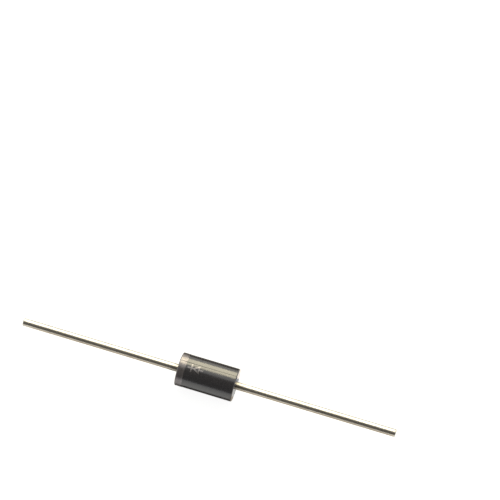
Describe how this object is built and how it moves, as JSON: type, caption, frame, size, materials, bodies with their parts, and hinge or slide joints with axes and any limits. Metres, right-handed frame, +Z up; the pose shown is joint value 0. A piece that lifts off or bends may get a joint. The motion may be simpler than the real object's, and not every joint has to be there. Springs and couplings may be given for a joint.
{
  "type": "axial rectifier diode",
  "caption": "Axial rectifier diode: round black moulded case, silver cathode band, straight tinned wire lead out of each end.",
  "frame": {"origin": "centre of the silicon die, which is the middle of the case", "axes": "+X along the leads from the cathode end to the anode end, +Z up as the diode lies on a bench"},
  "size_m": [0.0618, 0.0054, 0.0054],
  "materials": {
    "moulding_compound": "black epoxy moulding compound, satin gloss from the mould",
    "marking_ink": "silver-grey marking ink, thin printed film",
    "tinned_copper": "copper wire with bright tin plate and fine drawing lines",
    "silicon": "lapped silicon",
    "solder": "reflowed high-lead solder",
    "silicone_rubber": "white silicone junction coating"
  },
  "bodies": {
    "root": {"epoxy_case": "moulding_compound", "cathode_band": "marking_ink", "polarity_mark": "marking_ink", "cathode_lead": "tinned_copper", "anode_lead": "tinned_copper", "silicon_die": "silicon", "cathode_solder": "solder", "anode_solder": "solder", "junction_coating": "silicone_rubber"}
  },
  "joints": []
}
